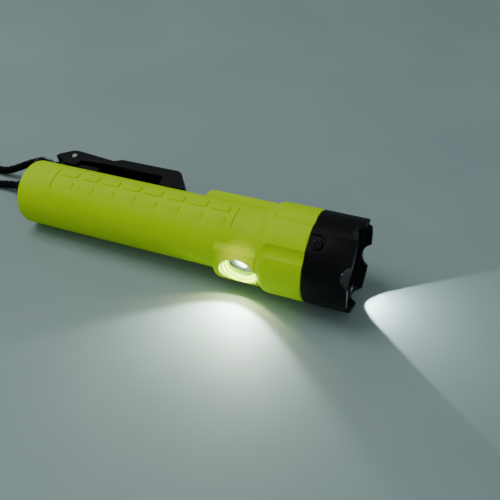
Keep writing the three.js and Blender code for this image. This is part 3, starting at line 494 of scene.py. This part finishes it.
# Clear polycarbonate over the spot light: dark from outside, barely lit by the chip behind it.
SPOT_LENS = clear_plastic("spot_lens", "#7E888C", "#F4FBFF", 0.01)
# Clear polycarbonate over the flood light: brightest near its chip.
FLOOD_LENS = clear_plastic(
    "flood_lens", "#CFDFDF", "#EAFFFA", 0.12, bright_at=on_torch(FLOOD_X, -1.8, -15.6)
)
# Phosphor-coated chip that is lit: warm white and far brighter than anything else.
LIT = lit_chip("lit_led", "#FFF9E6", 150.0)
BOARD = circuit_board("circuit_board")
# Printed shrink sleeve of a cell: dark blue with a slight gloss.
CELL = moulded("cell_wrap", "#2B3F63", "#6E7F9C", "#1E2E4C", 0.3, 0.8, 0.01)
CORD = braided_cord("black_cord")
FLOOR = pale_floor("pale_floor")


def painted(obj, material):
    obj.data.materials.clear()
    obj.data.materials.append(material)
    return obj


def repaint(names, material):
    for name in names:
        painted(nodes[name], material)


# ------------------------------------------------------------------ lanyard
# The points are in millimetres, along and across the floor from below the middle of the tail.
CORD_WIDTH = 0.005
LANYARD_FROM = Vector((TAIL_AT.x, TAIL_AT.y, 0.0))
STRAND_SPACING = 0.0105
KNOT_SPACING = 0.0026
PATH_SPACING = 0.0006
LOWER_LAYER, UPPER_LAYER = 2.5, 7.5
TIE_X, TIE_RISE, TIE_REACH = -107, 1.3, 9
HANK_REAR, HANK_FRONT = -144.6, -70
HANK_NEAR, HANK_FAR = 9.6, 30.4
UPPER_STRAND = [
    (-19, 11.2, 8.4), (-15.6, 10.9, 9), (-10.9, 12.3, 9.6), (-7.2, 16, 10.5), (-5.75, 21.2, 12.1),
    (-7.05, 26.1, 13.4), (-10.7, 29.7, 14.4), (-16, 31.2, 15.1), (-21.9, 30.95, 14.5), (-30, 29.5, 11),
    (-38, 27.9, 7.1),
    (-45, 27.4, 4.1), (-51.5, 27.7, 2.8), (-58, 28.7, 2.5), (-64, 29.8, 2.5),
]
LOWER_STRAND = [
    (-64, 10.4, 6.6), (-57, 12, 3.1), (-50, 13, 2.6), (-41.4, 14.1, 2.9), (-32, 14.4, 4.6),
    (-24.7, 12.5, 6.8),
]


def hank_points():
    """Two layers of one long turn each, the second lying on the first. The tie runs under the
    lower layer and lifts it a little."""
    middle = (HANK_NEAR + HANK_FAR) / 2
    radius = (HANK_FAR - HANK_NEAR) / 2
    points = []

    def fold(centre_x, start_degrees, low, high):
        for i in range(1, 8):
            t = i / 8
            angle = math.radians(start_degrees + 180 * t)
            points.append((
                centre_x + radius * math.cos(angle),
                middle + radius * math.sin(angle),
                low + (high - low) * t,
            ))

    def run(from_x, to_x, side, height):
        for i in range(17):
            t = i / 16
            x = from_x + (to_x - from_x) * t
            rise = TIE_RISE * math.exp(-(((x - TIE_X) / TIE_REACH) ** 2))
            points.append((x, side, height + (rise if height == LOWER_LAYER else 0.0)))

    run(HANK_FRONT, HANK_REAR, HANK_FAR, LOWER_LAYER)
    fold(HANK_REAR, 90, LOWER_LAYER, LOWER_LAYER)
    run(HANK_REAR, HANK_FRONT, HANK_NEAR, LOWER_LAYER)
    fold(HANK_FRONT, -90, LOWER_LAYER, UPPER_LAYER)
    run(HANK_FRONT, HANK_REAR, HANK_FAR, UPPER_LAYER)
    fold(HANK_REAR, 90, UPPER_LAYER, UPPER_LAYER)
    run(HANK_REAR, HANK_FRONT, HANK_NEAR, UPPER_LAYER)
    return points


def smooth_path(points, spacing):
    """Evenly spaced places on one smooth curve through the points."""
    padded = [2 * points[0] - points[1]] + points + [2 * points[-1] - points[-2]]
    fine = []
    for a, b, c, d in zip(padded, padded[1:], padded[2:], padded[3:]):
        for i in range(24):
            t = i / 24
            fine.append(0.5 * (
                2 * b + (c - a) * t + (2 * a - 5 * b + 4 * c - d) * t ** 2
                + (3 * b - a - 3 * c + d) * t ** 3
            ))
    fine.append(points[-1])
    distances = [0.0]
    for p, q in zip(fine, fine[1:]):
        distances.append(distances[-1] + (q - p).length)
    total = distances[-1]
    count = max(2, round(total / spacing))
    places, k = [], 0
    for i in range(count + 1):
        wanted = total * i / count
        while k < len(fine) - 2 and distances[k + 1] < wanted:
            k += 1
        span = distances[k + 1] - distances[k] or 1.0
        places.append(fine[k].lerp(fine[k + 1], (wanted - distances[k]) / span))
    return places


def sweep(name, places, radius, sides, relief=None):
    """A tube along the places; relief(angle, distance) swells its radius. Its map runs along it."""
    tangents = []
    for i in range(len(places)):
        ahead = places[min(i + 1, len(places) - 1)]
        behind = places[max(i - 1, 0)]
        tangents.append((ahead - behind).normalized())
    across = tangents[0].orthogonal().normalized()
    points, faces, distance = [], [], 0.0
    coordinates = []
    for i, (place, tangent) in enumerate(zip(places, tangents)):
        if i:
            distance += (place - places[i - 1]).length
            across = (across - tangent * across.dot(tangent)).normalized()
        other = tangent.cross(across)
        for j in range(sides):
            angle = 2 * math.pi * j / sides
            swell = relief(angle, distance) if relief else 1.0
            points.append(place + radius * swell * (
                math.cos(angle) * across + math.sin(angle) * other
            ))
            coordinates.append((j / sides, distance / (2 * math.pi * radius)))
    corners = []
    for i in range(len(places) - 1):
        for j in range(sides):
            k = (j + 1) % sides
            faces.append((i * sides + j, i * sides + k, (i + 1) * sides + k, (i + 1) * sides + j))
            u0, v0 = coordinates[i * sides + j]
            u1 = u0 + 1 / sides
            v1 = coordinates[(i + 1) * sides + j][1]
            corners += [(u0, v0), (u1, v0), (u1, v1), (u0, v1)]
    last = (len(places) - 1) * sides
    for start, order in ((0, -1), (last, 1)):
        ring = list(range(start, start + sides))[::order]
        faces.append(tuple(ring))
        corners += [coordinates[v] for v in ring]
    mesh = mesh_from(name, points, faces)
    chart = mesh.uv_layers.new(name="braid")
    for loop, corner in enumerate(corners):
        chart.data[loop].uv = corner
    obj = new_object(name, mesh)
    obj.data.shade_smooth()
    return obj


def braid(angle, distance):
    """Two sets of strands crossing over and under each other."""
    turn = 2 * math.pi * distance / STRAND_SPACING
    right = math.cos(4 * angle + 2 * turn)
    left = math.cos(4 * angle - 2 * turn)
    knots = math.cos(2 * math.pi * distance / KNOT_SPACING)
    return 0.86 + 0.05 * max(right, left) + 0.09 * knots


def build_lanyard():
    """One limp cord from the splice, round the ring, into the hank and back."""
    route_mm = UPPER_STRAND + hank_points() + LOWER_STRAND
    route = [Vector(p) * MM + LANYARD_FROM for p in route_mm]
    places = smooth_path(route, PATH_SPACING)
    cord = painted(sweep("lanyard_cord", places, CORD_WIDTH / 2, 20, braid), CORD)
    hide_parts("lanyard_cord_upper", "lanyard_cord_lower", "lanyard_hank")
    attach(cord, "lanyard")


build_lanyard()


# ------------------------------------------------------------------ repeated shapes
def row_of_copies(obj, material, sizes):
    """Turns the object's shape into a row of copies along the torch, made by a node group whose
    named inputs are the count, the spacing, the first copy's place and the turn about the torch."""
    tree = bpy.data.node_groups.new(obj.name + "_row", "GeometryNodeTree")
    sockets = {}
    for name, kind in (
        ("Geometry", "NodeSocketGeometry"), ("Count", "NodeSocketInt"),
        ("Spacing", "NodeSocketFloat"), ("Start", "NodeSocketVector"), ("Turn", "NodeSocketFloat"),
    ):
        socket = tree.interface.new_socket(name, in_out="INPUT", socket_type=kind)
        sockets[name] = socket.identifier
    tree.interface.new_socket("Geometry", in_out="OUTPUT", socket_type="NodeSocketGeometry")
    given = add_node(tree, "NodeGroupInput").outputs
    step = add_node(tree, "ShaderNodeCombineXYZ", {"X": given["Spacing"]})
    turn = add_node(tree, "ShaderNodeCombineXYZ", {"X": given["Turn"]})
    line = add_node(
        tree, "GeometryNodeMeshLine",
        {"Count": given["Count"], "Start Location": given["Start"], "Offset": step.outputs[0]},
    )
    copies = add_node(
        tree, "GeometryNodeInstanceOnPoints",
        {
            "Points": line.outputs[0], "Instance": given["Geometry"],
            "Rotation": turn.outputs[0],
        },
    )
    real = add_node(tree, "GeometryNodeRealizeInstances", {"Geometry": copies.outputs[0]})
    finish = add_node(
        tree, "GeometryNodeSetMaterial", {"Geometry": real.outputs[0], "Material": material}
    )
    add_node(tree, "NodeGroupOutput", {0: finish.outputs[0]})
    modifier = modified(obj, "NODES", node_group=tree)
    for name, value in sizes.items():
        modifier[sockets[name]] = value
    return applied(obj)


# ------------------------------------------------------------------ housing
TUBE_RADIUS = 18.0
TUBE_BORE = 16.0
HEAD_RADIUS = 23.8
NECK_RADIUS = 20.8
SHOULDER_REAR, SHOULDER_FRONT = 141.0, 151.0
BEZEL_REAR, BEZEL_FRONT = 170.5, 193.5
NECK_FRONT = 181.0
PAD_REAR, PAD_FRONT = 105.0, 147.0
PAD_HEIGHT = 21.6
BUTTON_PLACES = (117.25, 134.75)
BUTTON_RADIUS = 5.2
NECK_BORE = 18.8
BORE_REAR, BORE_STEP, BORE_FRONT = 3, 149, 183
BOOT_ROOM = 4
FLUTE_ANGLES = (31, 81.5, 132)
FLUTE_RADIUS, FLUTE_DEPTH = 7.1, 1.2
GRIP_ROWS = ((78.5, 4.4, 0.5), (105.5, 6.0, -0.12))
PAD_LENGTH, PAD_RISE, PAD_SINK = 9.8, 0.5, 0.9
PADS_IN_ROW, PAD_SPACING, FIRST_PAD_X = 8, 13.0, 24.2
CLIP_SCREW_X = (24.6, 30.6)
LOCK_SCREW_TURN = -111
NOTCH_TURN = -83


def shell():
    """The closed tail, the plain grip tube, the shoulder, the head and the neck in one turning."""
    tail = [
        (2.5 * (1 - math.sin(a)), TUBE_RADIUS - 2.5 * (1 - math.cos(a)))
        for a in (math.pi / 2 * i / 8 for i in range(8, -1, -1))
    ]
    shoulder = [
        (
            SHOULDER_REAR + t * (SHOULDER_FRONT - SHOULDER_REAR),
            TUBE_RADIUS + (HEAD_RADIUS - TUBE_RADIUS) * (0.5 - 0.5 * math.cos(math.pi * t)),
        )
        for t in (i / 18 for i in range(1, 19))
    ]
    return turned("housing_shell", [
        (0, 0), *tail, (SHOULDER_REAR, TUBE_RADIUS), *shoulder,
        (BEZEL_REAR - 0.3, HEAD_RADIUS), (BEZEL_REAR, HEAD_RADIUS - 0.3),
        (BEZEL_REAR, NECK_RADIUS), (NECK_FRONT, NECK_RADIUS), (NECK_FRONT, 0),
    ])


def switch_pad():
    """The raised pad that carries the switches, with a ramp at its rear end."""
    section = bar("pad", [
        (-12.4, 9.9), (12.4, 9.9), (12.4, 13), (10.4, 18.7), (9.5, 20.5), (8.4, PAD_HEIGHT),
        (-8.4, PAD_HEIGHT), (-9.5, 20.5), (-10.4, 18.7), (-12.4, 13),
    ], PAD_REAR, PAD_FRONT + 2)
    rounded(section, 1.2, 20, 3)
    slope = PAD_HEIGHT - TUBE_RADIUS
    length = plate("pad_length", [
        (PAD_REAR - 0.1, 0), (PAD_FRONT, 0), (PAD_FRONT, PAD_HEIGHT + 1),
        (PAD_REAR + 1.8 * slope, PAD_HEIGHT + 1), (PAD_REAR + 1.25 * slope, PAD_HEIGHT),
        (PAD_REAR + 0.75 * slope, PAD_HEIGHT - 0.9), (PAD_REAR + 0.3 * slope, PAD_HEIGHT - 2.5),
        (PAD_REAR, TUBE_RADIUS - 0.6),
    ], -15, 15)
    return boolean(section, [length], "INTERSECT")


def flood_boss():
    """The thickening of the tube round the flood light's pocket."""
    front = SHOULDER_REAR + 5
    barrel = turned("boss", rod(FLOOD_X - 13.5, front, 21.8))
    slab = block("boss_slab", 100, 190, -12, 12, -24, -10.8)
    boolean(barrel, [slab], "INTERSECT")
    return rounded(barrel, 0.7, 40, 3)


def flood_pocket():
    """The stepped funnel down to the flood light's lens."""
    return upright("pocket", [
        (-24, 0), (-24, 11.6), (-21.9, 10.45), (-20.3, 9.6), (-20.2, 9.25), (-18.6, 8.6),
        (-18.5, 8.25), (-16.7, 7.65), (-16.5, 7.3), (-16.5, 6.9), (-9.6, 6.9), (-9.6, 0),
    ], FLOOD_X, 128)


def flute_cutter():
    """A shallow groove along the head, round-ended towards the shoulder."""
    start = SHOULDER_REAR + 11.5
    dome = [
        (start - FLUTE_RADIUS * math.cos(a), FLUTE_RADIUS * math.sin(a))
        for a in (math.pi / 2 * i / 12 for i in range(13))
    ]
    end = BEZEL_REAR + 2
    cutter = turned("flute", [*dome, (end, FLUTE_RADIUS), (end, 0)], 64)
    height = HEAD_RADIUS + FLUTE_RADIUS - FLUTE_DEPTH
    cutter.data.transform(Matrix.Translation((0, 0, height)))
    return cutter


def grip_pads():
    """Low pads down each side; the lower rows fade into the tube at their far edge."""
    rows = []
    for angle, width, far_edge in GRIP_ROWS:
        for side in (1, -1):
            outline = [(-width / 2, -PAD_SINK), (width / 2, -PAD_SINK)]
            for i in range(9):
                t = 0.5 - i / 8
                away = 0.5 + side * t
                drop = math.sqrt(TUBE_RADIUS ** 2 - (t * width) ** 2) - TUBE_RADIUS
                outline.append((t * width, drop + PAD_RISE + away * (far_edge - PAD_RISE)))
            row = rounded(bar("grip_pads", outline, 0, PAD_LENGTH), 0.16, 40, 2)
            around = math.radians(side * angle)
            rows.append(row_of_copies(row, HI_VIS, {
                "Count": PADS_IN_ROW, "Spacing": PAD_SPACING, "Turn": -around,
                "Start": (
                    FIRST_PAD_X, TUBE_RADIUS * math.sin(around), TUBE_RADIUS * math.cos(around),
                ),
            }))
    return rows


def grip_bars():
    """Thin hoops across both sides of the tube, at either end of the pads."""
    hoops = []
    for x in (20.1, 128.2):
        for side in (1, -1):
            outline = []
            for radius, angles in ((18.4, range(71, 115, 2)), (17.3, range(113, 69, -2))):
                outline += [
                    (side * radius * math.sin(math.radians(a)), radius * math.cos(math.radians(a)))
                    for a in angles
                ]
            hoops.append(rounded(bar("grip_bar", outline, x, x + 0.9), 0.15, 40, 1))
    return hoops


def build_housing():
    """The housing with its bore, recesses and flutes, and its four rows of pads."""
    body = shell()
    join_solids(body, switch_pad(), flood_boss())
    rear, front = PAD_REAR + BOOT_ROOM, PAD_FRONT - BOOT_ROOM
    boot_recess = slot_shape("recess", rear, front, 7.1, PAD_HEIGHT - 0.9, PAD_HEIGHT + 3)
    flutes = []
    for angle in FLUTE_ANGLES:
        for side in (1, -1):
            flutes.append(turn_about_torch(flute_cutter(), side * angle))
    bore = turned("bore", [
        (BORE_REAR, 0), (BORE_REAR, TUBE_BORE), (BORE_STEP, TUBE_BORE), (BORE_STEP, NECK_BORE),
        (BORE_FRONT, NECK_BORE), (BORE_FRONT, 0),
    ], 96)
    wells = [
        upright("well", rod(14.4, PAD_HEIGHT + 2, BUTTON_RADIUS + 0.3), x, 64)
        for x in BUTTON_PLACES
    ]
    screw_holes = [upright("screw_hole", rod(16.8, 20, 1.3), x, 24) for x in CLIP_SCREW_X]
    room = block("switch_room", rear, front, -7.4, 7.4, 11.2, PAD_HEIGHT - 1.6)
    cut(body, bore, room, boot_recess, flood_pocket(), *flutes, *wells, *screw_holes)
    join_solids(body, *grip_bars())
    body.name = "housing_shell"
    for piece in (body, *grip_pads()):
        placed(shaded(painted(piece, HI_VIS)))
        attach(piece, "torch_body")
        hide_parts("housing")


def slot_shape(name, x0, x1, half_width, low, high):
    """A lying slot outline with round ends, thick from low to high."""
    outline = []
    for centre, start in ((x1 - half_width, -90), (x0 + half_width, 90)):
        for i in range(25):
            angle = math.radians(start + 7.5 * i)
            outline.append((centre + half_width * math.cos(angle), half_width * math.sin(angle)))
    return prism(name, outline, low, high, lambda x, side, up: (x, side, up))


def build_switches():
    """The flush rubber boot and the two dished buttons that come through it."""
    rear, front = PAD_REAR + BOOT_ROOM, PAD_FRONT - BOOT_ROOM
    boot = slot_shape("switch_boot", rear + 0.3, front - 0.3, 6.8, PAD_HEIGHT - 0.6, PAD_HEIGHT + 0.3)
    rounded(boot, 0.25, 40, 2)
    cut(boot, *[
        upright("well", rod(PAD_HEIGHT - 2, PAD_HEIGHT + 2, BUTTON_RADIUS + 0.3), x, 64)
        for x in BUTTON_PLACES
    ])
    placed(shaded(painted(boot, RUBBER)))
    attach(boot, "torch_body")
    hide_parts("switch_boot")
    top = PAD_HEIGHT + 1.9
    for name, x in zip(("flood", "spot"), BUTTON_PLACES):
        crown = [
            (
                top - 0.9 + 0.9 * math.sin(a) - 0.25 * (1 - math.cos(a)),
                BUTTON_RADIUS - 0.9 + 0.9 * math.cos(a),
            )
            for a in (math.pi / 2 * i / 6 for i in range(7))
        ]
        key = upright("key", [
            (20.2, 0), (20.2, 2.4), (20.6, 2.4), (20.6, BUTTON_RADIUS), *crown,
            (top - 0.45, 2.6), (top - 0.55, 0),
        ], x, 72)
        key.name = name + "_key"
        placed(shaded(painted(key, RUBBER)))
        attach(key, name + "_key")
        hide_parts(name + "_button")


# ------------------------------------------------------------------ bezel
def build_bezel():
    """The bezel ring with its six rim notches and the pocket of its lock screw."""
    rear = BEZEL_REAR + 0.3
    ring = turned("bezel_ring_body", [
        (rear, 21.1), (rear, HEAD_RADIUS - 0.35), (rear + 0.35, HEAD_RADIUS),
        (BEZEL_FRONT - 0.6, HEAD_RADIUS), (BEZEL_FRONT - 0.18, HEAD_RADIUS - 0.18),
        (BEZEL_FRONT, HEAD_RADIUS - 0.6), (BEZEL_FRONT, 21.3), (189.5, 21.3), (189.5, 19.6),
        (188.3, 19.6), (188.3, 21.1), (rear, 21.1),
    ], 192)
    notches = [
        turn_about_torch(upright("notch", rod(20.1, 26, 6.4), 195.9, 96), NOTCH_TURN + 60 * i)
        for i in range(6)
    ]
    screw_x = rear + 4.2
    floor = HEAD_RADIUS - 1.4
    pocket = upright("screw_pocket", rod(floor, 26, 4.6), screw_x, 72)
    way_in = block("way_in", rear - 2, screw_x, -4.6, 4.6, floor, 26)
    hole = upright("screw_hole", rod(19, 25, 1.5), screw_x, 32)
    cutters = [turn_about_torch(piece, LOCK_SCREW_TURN) for piece in (pocket, way_in, hole)]
    cut(ring, *notches, *cutters)
    ring.name = "bezel_body"
    placed(shaded(painted(ring, BLACK_NYLON)))
    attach(ring, "bezel_ring")
    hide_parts("bezel")


def build_lock_screw():
    """A cross-slotted screw, sunk in the bezel's pocket."""
    x = BEZEL_REAR + 4.5
    seat, top = HEAD_RADIUS - 1.1, HEAD_RADIUS - 0.2
    screw = upright("lock_screw_body", [
        (21.1, 0), (21.1, 1.2), (seat, 1.2), (seat, 2.8), (top - 0.35, 2.8), (top - 0.1, 2.65),
        (top, 2.4), (top, 0),
    ], x, 64)
    slots = [
        block("slot", x - a, x + a, -b, b, top - 0.6, top + 1) for a, b in ((1.7, 0.4), (0.4, 1.7))
    ]
    cut(screw, *slots)
    turn_about_torch(screw, LOCK_SCREW_TURN)
    placed(shaded(painted(screw, BLACK_NYLON)))
    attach(screw, "bezel_ring")
    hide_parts("lock_screw")


# ------------------------------------------------------------------ split ring
RING_RADIUS, RING_WIRE, RING_TURNS, RING_PITCH = 10.2, 0.34, 1.9, 0.74


def build_split_ring():
    """Not quite two turns of wire through the clip's eye, hanging back and down from it."""
    eye = on_torch(2, 0, 20.9)
    hang = math.radians(40)
    places = []
    for i in range(241):
        t = i / 240 - 0.5
        angle = hang + math.pi * (1 + 2 * RING_TURNS * t)
        places.append(eye + MM * Vector((
            RING_RADIUS * (math.cos(angle) - math.cos(hang)),
            RING_TURNS * RING_PITCH * t,
            RING_RADIUS * (math.sin(angle) - math.sin(hang)),
        )))
    ring = painted(sweep("split_ring_wire", places, RING_WIRE * MM, 14), RING_STEEL)
    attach(ring, "lanyard")
    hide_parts("split_ring")


build_housing()
build_switches()
build_bezel()
build_lock_screw()
build_split_ring()

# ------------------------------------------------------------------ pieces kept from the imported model
repaint(["clip_lever", "clip_base"], BLACK_NYLON)
repaint(["clip_pin", "clip_spring", "clip_screw_1", "clip_screw_2"], STEEL)
repaint(["flood_tact_switch", "spot_tact_switch"], STEEL)
repaint(["rear_contact_spring", "front_contact_spring"], STEEL)
repaint(["rear_bridge", "rear_contact", "front_contact_positive", "front_contact_negative"], BRASS)
repaint(["tail_cushion", "flood_lens_seal", "main_lens_seal", "neck_seal"], RUBBER)
repaint(["lanyard_splice", "lanyard_tie"], RUBBER)
repaint(["battery_carrier", "light_module"], GREY_PLASTIC)
repaint(["heat_sink"], ALUMINIUM)
repaint(["main_reflector", "flood_reflector"], MIRROR)
repaint(["main_lens"], SPOT_LENS)
repaint(["flood_lens"], FLOOD_LENS)
repaint(["main_led", "flood_led"], LIT)
repaint(["contact_board", "switch_board", "flood_board", "main_led_board"], BOARD)
repaint(["cell_1", "cell_2", "cell_3", "cell_4"], CELL)
for name in ("clip_lever", "clip_base"):
    modified(
        nodes[name], "BEVEL", width=0.00035, segments=3, limit_method="ANGLE",
        angle_limit=math.radians(35), harden_normals=False,
    )

# ------------------------------------------------------------------ floor and light
floor = new_object("floor", mesh_from(
    "floor", [(-3, -3, 0), (3, -3, 0), (3, 3, 0), (-3, 3, 0)], [(0, 1, 2, 3)]
))
painted(floor, FLOOR)

world = bpy.data.worlds.new("world")
world.use_nodes = True
sky = world.node_tree.nodes["Background"]
sky.inputs["Color"].default_value = linear("#DDE6EA")
sky.inputs["Strength"].default_value = 0.3
bpy.context.scene.world = world


def lamp(name, kind, place, towards, power, size, colour="#FFFFFF", **settings):
    data = bpy.data.lights.new(name, kind)
    data.energy = power
    data.color = linear(colour)[:3]
    if kind == "AREA":
        data.size = size
    for key, value in settings.items():
        setattr(data, key, value)
    obj = bpy.data.objects.new(name, data)
    obj.location = place
    obj.rotation_euler = (Vector(towards) - Vector(place)).to_track_quat("-Z", "Y").to_euler()
    bpy.context.scene.collection.objects.link(obj)
    return obj


lamp("key", "AREA", (-0.5, -0.1, 1.1), (0, 0, 0), 6.8, 0.7, "#F8FAFF")
lamp("fill", "AREA", (0.8, -0.9, 0.9), (0, 0, 0), 2.6, 1.0, "#F6F9FF")
# The spot beam starts low in the bezel's mouth, in front of the lens, so nothing blocks it.
beam_from = Vector((0.0988, 0.0, 0.0076))
lamp(
    "spot_beam", "SPOT", beam_from, beam_from + direction(1, 0, 0), 0.5, 0, "#F0FAFF",
    spot_size=math.radians(79), spot_blend=0.12, shadow_soft_size=0.001,
)
flood_from = on_torch(FLOOD_X, 0, -16)
outwards = flood_from + direction(0, 0, -1)
lamp(
    "flood_beam", "SPOT", flood_from, outwards, 0.45, 0, "#F4FFF8",
    spot_size=math.radians(108), spot_blend=0.35, shadow_soft_size=0.001,
)
lamp("flood_glow", "AREA", flood_from, outwards, 0.03, 0.004, "#FFF3A8", shape="DISK")
